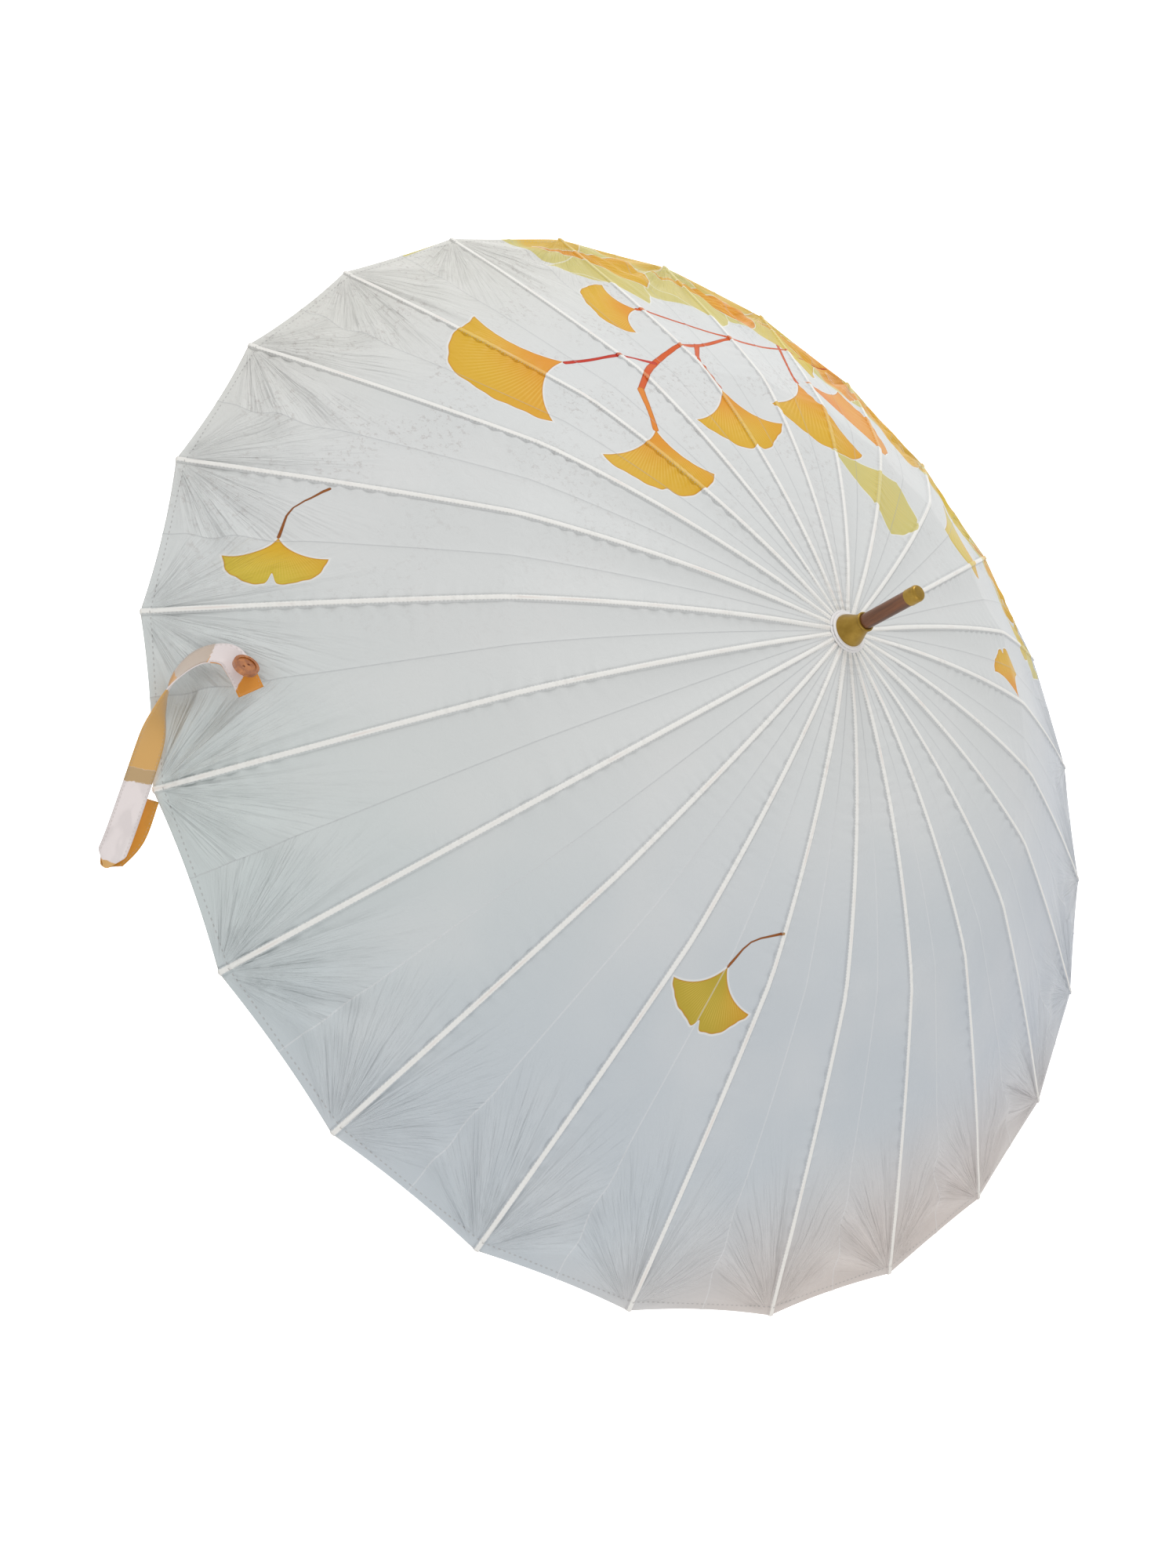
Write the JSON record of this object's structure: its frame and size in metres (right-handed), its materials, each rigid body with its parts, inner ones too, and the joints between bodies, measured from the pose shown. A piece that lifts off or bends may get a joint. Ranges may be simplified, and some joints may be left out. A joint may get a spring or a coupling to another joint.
{
  "type": "stick umbrella",
  "caption": "Open stick umbrella with a domed sewn cloth canopy of narrow gores, autumn leaf print, wooden shaft, gold cone cap, crook handle and a buttoned tie strap.",
  "frame": {"origin": "on the shaft's axis, in the middle of the handle's straight grip", "axes": "+Z along the shaft towards the ferrule; +X from the shaft towards the handle's hook and rib 1"},
  "size_m": [1.04, 1.0779, 0.8145],
  "materials": {
    "rib": "white glass fibre",
    "stretcher": "zinc plated",
    "hub": "moulded, satin",
    "spring": "bright spring steel",
    "wood": "reddish brown, waxed",
    "handle_wood": "reddish brown, varnished",
    "gold_cap": "olive gold, satin",
    "cloth": "grey-white satin, printed leaves",
    "strap": "satin strap, orange underside",
    "button": "brown-orange, polished"
  },
  "bodies": {
    "frame": {"shaft": "wood", "top_notch": "hub", "cone_cap": "gold_cap", "ferrule_cap": "gold_cap", "handle": "handle_wood", "handle_collar": "gold_cap", "canopy": "cloth"},
    "rib_01": {"rib_01": "rib"},
    "stretcher_01": {"stretcher_01": "stretcher"},
    "rib_02": {"rib_02": "rib"},
    "stretcher_02": {"stretcher_02": "stretcher"},
    "rib_03": {"rib_03": "rib"},
    "stretcher_03": {"stretcher_03": "stretcher"},
    "rib_04": {"rib_04": "rib"},
    "stretcher_04": {"stretcher_04": "stretcher"},
    "rib_05": {"rib_05": "rib"},
    "stretcher_05": {"stretcher_05": "stretcher"},
    "rib_06": {"rib_06": "rib"},
    "stretcher_06": {"stretcher_06": "stretcher"},
    "rib_07": {"rib_07": "rib"},
    "stretcher_07": {"stretcher_07": "stretcher"},
    "rib_08": {"rib_08": "rib"},
    "stretcher_08": {"stretcher_08": "stretcher"},
    "rib_09": {"rib_09": "rib"},
    "stretcher_09": {"stretcher_09": "stretcher"},
    "rib_10": {"rib_10": "rib"},
    "stretcher_10": {"stretcher_10": "stretcher"},
    "rib_11": {"rib_11": "rib"},
    "stretcher_11": {"stretcher_11": "stretcher"},
    "rib_12": {"rib_12": "rib"},
    "stretcher_12": {"stretcher_12": "stretcher"},
    "rib_13": {"rib_13": "rib"},
    "stretcher_13": {"stretcher_13": "stretcher"},
    "rib_14": {"rib_14": "rib"},
    "stretcher_14": {"stretcher_14": "stretcher"},
    "rib_15": {"rib_15": "rib"},
    "stretcher_15": {"stretcher_15": "stretcher"},
    "rib_16": {"rib_16": "rib"},
    "stretcher_16": {"stretcher_16": "stretcher"},
    "rib_17": {"rib_17": "rib"},
    "stretcher_17": {"stretcher_17": "stretcher"},
    "rib_18": {"rib_18": "rib", "tie_strap": "strap", "strap_button": "button"},
    "stretcher_18": {"stretcher_18": "stretcher"},
    "rib_19": {"rib_19": "rib"},
    "stretcher_19": {"stretcher_19": "stretcher"},
    "rib_20": {"rib_20": "rib"},
    "stretcher_20": {"stretcher_20": "stretcher"},
    "rib_21": {"rib_21": "rib"},
    "stretcher_21": {"stretcher_21": "stretcher"},
    "rib_22": {"rib_22": "rib"},
    "stretcher_22": {"stretcher_22": "stretcher"},
    "rib_23": {"rib_23": "rib"},
    "stretcher_23": {"stretcher_23": "stretcher"},
    "rib_24": {"rib_24": "rib"},
    "stretcher_24": {"stretcher_24": "stretcher"},
    "runner": {"runner": "hub"},
    "top_spring": {"top_spring": "spring"},
    "bottom_spring": {"bottom_spring": "spring"}
  },
  "joints": [
    {"name": "fold", "type": "hinge", "parent": "frame", "child": "rib_01", "pos_m": [0.014, 0, 0.645], "axis": [0, -1, 0], "range_deg": [-68.14, 0], "deforming": ["canopy", "top_spring", "bottom_spring"]},
    {"name": "stretcher_01_turn", "type": "hinge", "parent": "rib_01", "child": "stretcher_01", "pos_m": [0.28548, 0, 0.58303], "axis": [0, -1, 0], "range_deg": [-1, 137.28]},
    {"name": "rib_02_turn", "type": "hinge", "parent": "frame", "child": "rib_02", "pos_m": [0.01352, 0.00362, 0.645], "axis": [0.2588, -0.9659, 0], "range_deg": [-69.14, 1]},
    {"name": "stretcher_02_turn", "type": "hinge", "parent": "rib_02", "child": "stretcher_02", "pos_m": [0.27575, 0.07389, 0.58303], "axis": [0.2588, -0.9659, 0], "range_deg": [-1, 137.28]},
    {"name": "rib_03_turn", "type": "hinge", "parent": "frame", "child": "rib_03", "pos_m": [0.01212, 0.007, 0.645], "axis": [0.5, -0.866, 0], "range_deg": [-69.14, 1]},
    {"name": "stretcher_03_turn", "type": "hinge", "parent": "rib_03", "child": "stretcher_03", "pos_m": [0.24723, 0.14274, 0.58303], "axis": [0.5, -0.866, 0], "range_deg": [-1, 137.28]},
    {"name": "rib_04_turn", "type": "hinge", "parent": "frame", "child": "rib_04", "pos_m": [0.0099, 0.0099, 0.645], "axis": [0.7071, -0.7071, 0], "range_deg": [-69.14, 1]},
    {"name": "stretcher_04_turn", "type": "hinge", "parent": "rib_04", "child": "stretcher_04", "pos_m": [0.20186, 0.20186, 0.58303], "axis": [0.7071, -0.7071, 0], "range_deg": [-1, 137.28]},
    {"name": "rib_05_turn", "type": "hinge", "parent": "frame", "child": "rib_05", "pos_m": [0.007, 0.01212, 0.645], "axis": [0.866, -0.5, 0], "range_deg": [-69.14, 1]},
    {"name": "stretcher_05_turn", "type": "hinge", "parent": "rib_05", "child": "stretcher_05", "pos_m": [0.14274, 0.24723, 0.58303], "axis": [0.866, -0.5, 0], "range_deg": [-1, 137.28]},
    {"name": "rib_06_turn", "type": "hinge", "parent": "frame", "child": "rib_06", "pos_m": [0.00362, 0.01352, 0.645], "axis": [0.9659, -0.2588, 0], "range_deg": [-69.14, 1]},
    {"name": "stretcher_06_turn", "type": "hinge", "parent": "rib_06", "child": "stretcher_06", "pos_m": [0.07389, 0.27575, 0.58303], "axis": [0.9659, -0.2588, 0], "range_deg": [-1, 137.28]},
    {"name": "rib_07_turn", "type": "hinge", "parent": "frame", "child": "rib_07", "pos_m": [0, 0.014, 0.645], "axis": [1, 0, 0], "range_deg": [-69.14, 1]},
    {"name": "stretcher_07_turn", "type": "hinge", "parent": "rib_07", "child": "stretcher_07", "pos_m": [0, 0.28548, 0.58303], "axis": [1, 0, 0], "range_deg": [-1, 137.28]},
    {"name": "rib_08_turn", "type": "hinge", "parent": "frame", "child": "rib_08", "pos_m": [-0.00362, 0.01352, 0.645], "axis": [0.9659, 0.2588, 0], "range_deg": [-69.14, 1]},
    {"name": "stretcher_08_turn", "type": "hinge", "parent": "rib_08", "child": "stretcher_08", "pos_m": [-0.07389, 0.27575, 0.58303], "axis": [0.9659, 0.2588, 0], "range_deg": [-1, 137.28]},
    {"name": "rib_09_turn", "type": "hinge", "parent": "frame", "child": "rib_09", "pos_m": [-0.007, 0.01212, 0.645], "axis": [0.866, 0.5, 0], "range_deg": [-69.14, 1]},
    {"name": "stretcher_09_turn", "type": "hinge", "parent": "rib_09", "child": "stretcher_09", "pos_m": [-0.14274, 0.24723, 0.58303], "axis": [0.866, 0.5, 0], "range_deg": [-1, 137.28]},
    {"name": "rib_10_turn", "type": "hinge", "parent": "frame", "child": "rib_10", "pos_m": [-0.0099, 0.0099, 0.645], "axis": [0.7071, 0.7071, 0], "range_deg": [-69.14, 1]},
    {"name": "stretcher_10_turn", "type": "hinge", "parent": "rib_10", "child": "stretcher_10", "pos_m": [-0.20186, 0.20186, 0.58303], "axis": [0.7071, 0.7071, 0], "range_deg": [-1, 137.28]},
    {"name": "rib_11_turn", "type": "hinge", "parent": "frame", "child": "rib_11", "pos_m": [-0.01212, 0.007, 0.645], "axis": [0.5, 0.866, 0], "range_deg": [-69.14, 1]},
    {"name": "stretcher_11_turn", "type": "hinge", "parent": "rib_11", "child": "stretcher_11", "pos_m": [-0.24723, 0.14274, 0.58303], "axis": [0.5, 0.866, 0], "range_deg": [-1, 137.28]},
    {"name": "rib_12_turn", "type": "hinge", "parent": "frame", "child": "rib_12", "pos_m": [-0.01352, 0.00362, 0.645], "axis": [0.2588, 0.9659, 0], "range_deg": [-69.14, 1]},
    {"name": "stretcher_12_turn", "type": "hinge", "parent": "rib_12", "child": "stretcher_12", "pos_m": [-0.27575, 0.07389, 0.58303], "axis": [0.2588, 0.9659, 0], "range_deg": [-1, 137.28]},
    {"name": "rib_13_turn", "type": "hinge", "parent": "frame", "child": "rib_13", "pos_m": [-0.014, 0, 0.645], "axis": [0, 1, 0], "range_deg": [-69.14, 1]},
    {"name": "stretcher_13_turn", "type": "hinge", "parent": "rib_13", "child": "stretcher_13", "pos_m": [-0.28548, 0, 0.58303], "axis": [0, 1, 0], "range_deg": [-1, 137.28]},
    {"name": "rib_14_turn", "type": "hinge", "parent": "frame", "child": "rib_14", "pos_m": [-0.01352, -0.00362, 0.645], "axis": [-0.2588, 0.9659, 0], "range_deg": [-69.14, 1]},
    {"name": "stretcher_14_turn", "type": "hinge", "parent": "rib_14", "child": "stretcher_14", "pos_m": [-0.27575, -0.07389, 0.58303], "axis": [-0.2588, 0.9659, 0], "range_deg": [-1, 137.28]},
    {"name": "rib_15_turn", "type": "hinge", "parent": "frame", "child": "rib_15", "pos_m": [-0.01212, -0.007, 0.645], "axis": [-0.5, 0.866, 0], "range_deg": [-69.14, 1]},
    {"name": "stretcher_15_turn", "type": "hinge", "parent": "rib_15", "child": "stretcher_15", "pos_m": [-0.24723, -0.14274, 0.58303], "axis": [-0.5, 0.866, 0], "range_deg": [-1, 137.28]},
    {"name": "rib_16_turn", "type": "hinge", "parent": "frame", "child": "rib_16", "pos_m": [-0.0099, -0.0099, 0.645], "axis": [-0.7071, 0.7071, 0], "range_deg": [-69.14, 1]},
    {"name": "stretcher_16_turn", "type": "hinge", "parent": "rib_16", "child": "stretcher_16", "pos_m": [-0.20186, -0.20186, 0.58303], "axis": [-0.7071, 0.7071, 0], "range_deg": [-1, 137.28]},
    {"name": "rib_17_turn", "type": "hinge", "parent": "frame", "child": "rib_17", "pos_m": [-0.007, -0.01212, 0.645], "axis": [-0.866, 0.5, 0], "range_deg": [-69.14, 1]},
    {"name": "stretcher_17_turn", "type": "hinge", "parent": "rib_17", "child": "stretcher_17", "pos_m": [-0.14274, -0.24723, 0.58303], "axis": [-0.866, 0.5, 0], "range_deg": [-1, 137.28]},
    {"name": "rib_18_turn", "type": "hinge", "parent": "frame", "child": "rib_18", "pos_m": [-0.00362, -0.01352, 0.645], "axis": [-0.9659, 0.2588, 0], "range_deg": [-69.14, 1]},
    {"name": "stretcher_18_turn", "type": "hinge", "parent": "rib_18", "child": "stretcher_18", "pos_m": [-0.07389, -0.27575, 0.58303], "axis": [-0.9659, 0.2588, 0], "range_deg": [-1, 137.28]},
    {"name": "rib_19_turn", "type": "hinge", "parent": "frame", "child": "rib_19", "pos_m": [0, -0.014, 0.645], "axis": [-1, 0, 0], "range_deg": [-69.14, 1]},
    {"name": "stretcher_19_turn", "type": "hinge", "parent": "rib_19", "child": "stretcher_19", "pos_m": [0, -0.28548, 0.58303], "axis": [-1, 0, 0], "range_deg": [-1, 137.28]},
    {"name": "rib_20_turn", "type": "hinge", "parent": "frame", "child": "rib_20", "pos_m": [0.00362, -0.01352, 0.645], "axis": [-0.9659, -0.2588, 0], "range_deg": [-69.14, 1]},
    {"name": "stretcher_20_turn", "type": "hinge", "parent": "rib_20", "child": "stretcher_20", "pos_m": [0.07389, -0.27575, 0.58303], "axis": [-0.9659, -0.2588, 0], "range_deg": [-1, 137.28]},
    {"name": "rib_21_turn", "type": "hinge", "parent": "frame", "child": "rib_21", "pos_m": [0.007, -0.01212, 0.645], "axis": [-0.866, -0.5, 0], "range_deg": [-69.14, 1]},
    {"name": "stretcher_21_turn", "type": "hinge", "parent": "rib_21", "child": "stretcher_21", "pos_m": [0.14274, -0.24723, 0.58303], "axis": [-0.866, -0.5, 0], "range_deg": [-1, 137.28]},
    {"name": "rib_22_turn", "type": "hinge", "parent": "frame", "child": "rib_22", "pos_m": [0.0099, -0.0099, 0.645], "axis": [-0.7071, -0.7071, 0], "range_deg": [-69.14, 1]},
    {"name": "stretcher_22_turn", "type": "hinge", "parent": "rib_22", "child": "stretcher_22", "pos_m": [0.20186, -0.20186, 0.58303], "axis": [-0.7071, -0.7071, 0], "range_deg": [-1, 137.28]},
    {"name": "rib_23_turn", "type": "hinge", "parent": "frame", "child": "rib_23", "pos_m": [0.01212, -0.007, 0.645], "axis": [-0.5, -0.866, 0], "range_deg": [-69.14, 1]},
    {"name": "stretcher_23_turn", "type": "hinge", "parent": "rib_23", "child": "stretcher_23", "pos_m": [0.24723, -0.14274, 0.58303], "axis": [-0.5, -0.866, 0], "range_deg": [-1, 137.28]},
    {"name": "rib_24_turn", "type": "hinge", "parent": "frame", "child": "rib_24", "pos_m": [0.01352, -0.00362, 0.645], "axis": [-0.2588, -0.9659, 0], "range_deg": [-69.14, 1]},
    {"name": "stretcher_24_turn", "type": "hinge", "parent": "rib_24", "child": "stretcher_24", "pos_m": [0.27575, -0.07389, 0.58303], "axis": [-0.2588, -0.9659, 0], "range_deg": [-1, 137.28]},
    {"name": "runner_travel", "type": "hinge", "parent": "stretcher_01", "child": "runner", "pos_m": [0.014, 0, 0.52107], "axis": [0, -1, 0], "range_deg": [-69.14, 1]},
    {"name": "top_catch_press", "type": "slide", "parent": "frame", "child": "top_spring", "axis": [-1, 0, 0], "range_m": [0, 0.0036], "stiffness_N_per_m": 900, "springref_m": -0.001},
    {"name": "bottom_catch_press", "type": "slide", "parent": "frame", "child": "bottom_spring", "axis": [-1, 0, 0], "range_m": [0, 0.0036], "stiffness_N_per_m": 900, "springref_m": -0.001}
  ],
  "couplings": [
    {"joint": "stretcher_01_turn", "follows": "fold", "ratio": -2},
    {"joint": "rib_02_turn", "follows": "fold", "ratio": 1},
    {"joint": "stretcher_02_turn", "follows": "fold", "ratio": -2},
    {"joint": "rib_03_turn", "follows": "fold", "ratio": 1},
    {"joint": "stretcher_03_turn", "follows": "fold", "ratio": -2},
    {"joint": "rib_04_turn", "follows": "fold", "ratio": 1},
    {"joint": "stretcher_04_turn", "follows": "fold", "ratio": -2},
    {"joint": "rib_05_turn", "follows": "fold", "ratio": 1},
    {"joint": "stretcher_05_turn", "follows": "fold", "ratio": -2},
    {"joint": "rib_06_turn", "follows": "fold", "ratio": 1},
    {"joint": "stretcher_06_turn", "follows": "fold", "ratio": -2},
    {"joint": "rib_07_turn", "follows": "fold", "ratio": 1},
    {"joint": "stretcher_07_turn", "follows": "fold", "ratio": -2},
    {"joint": "rib_08_turn", "follows": "fold", "ratio": 1},
    {"joint": "stretcher_08_turn", "follows": "fold", "ratio": -2},
    {"joint": "rib_09_turn", "follows": "fold", "ratio": 1},
    {"joint": "stretcher_09_turn", "follows": "fold", "ratio": -2},
    {"joint": "rib_10_turn", "follows": "fold", "ratio": 1},
    {"joint": "stretcher_10_turn", "follows": "fold", "ratio": -2},
    {"joint": "rib_11_turn", "follows": "fold", "ratio": 1},
    {"joint": "stretcher_11_turn", "follows": "fold", "ratio": -2},
    {"joint": "rib_12_turn", "follows": "fold", "ratio": 1},
    {"joint": "stretcher_12_turn", "follows": "fold", "ratio": -2},
    {"joint": "rib_13_turn", "follows": "fold", "ratio": 1},
    {"joint": "stretcher_13_turn", "follows": "fold", "ratio": -2},
    {"joint": "rib_14_turn", "follows": "fold", "ratio": 1},
    {"joint": "stretcher_14_turn", "follows": "fold", "ratio": -2},
    {"joint": "rib_15_turn", "follows": "fold", "ratio": 1},
    {"joint": "stretcher_15_turn", "follows": "fold", "ratio": -2},
    {"joint": "rib_16_turn", "follows": "fold", "ratio": 1},
    {"joint": "stretcher_16_turn", "follows": "fold", "ratio": -2},
    {"joint": "rib_17_turn", "follows": "fold", "ratio": 1},
    {"joint": "stretcher_17_turn", "follows": "fold", "ratio": -2},
    {"joint": "rib_18_turn", "follows": "fold", "ratio": 1},
    {"joint": "stretcher_18_turn", "follows": "fold", "ratio": -2},
    {"joint": "rib_19_turn", "follows": "fold", "ratio": 1},
    {"joint": "stretcher_19_turn", "follows": "fold", "ratio": -2},
    {"joint": "rib_20_turn", "follows": "fold", "ratio": 1},
    {"joint": "stretcher_20_turn", "follows": "fold", "ratio": -2},
    {"joint": "rib_21_turn", "follows": "fold", "ratio": 1},
    {"joint": "stretcher_21_turn", "follows": "fold", "ratio": -2},
    {"joint": "rib_22_turn", "follows": "fold", "ratio": 1},
    {"joint": "stretcher_22_turn", "follows": "fold", "ratio": -2},
    {"joint": "rib_23_turn", "follows": "fold", "ratio": 1},
    {"joint": "stretcher_23_turn", "follows": "fold", "ratio": -2},
    {"joint": "rib_24_turn", "follows": "fold", "ratio": 1},
    {"joint": "stretcher_24_turn", "follows": "fold", "ratio": -2},
    {"joint": "runner_travel", "follows": "fold", "ratio": 1}
  ]
}
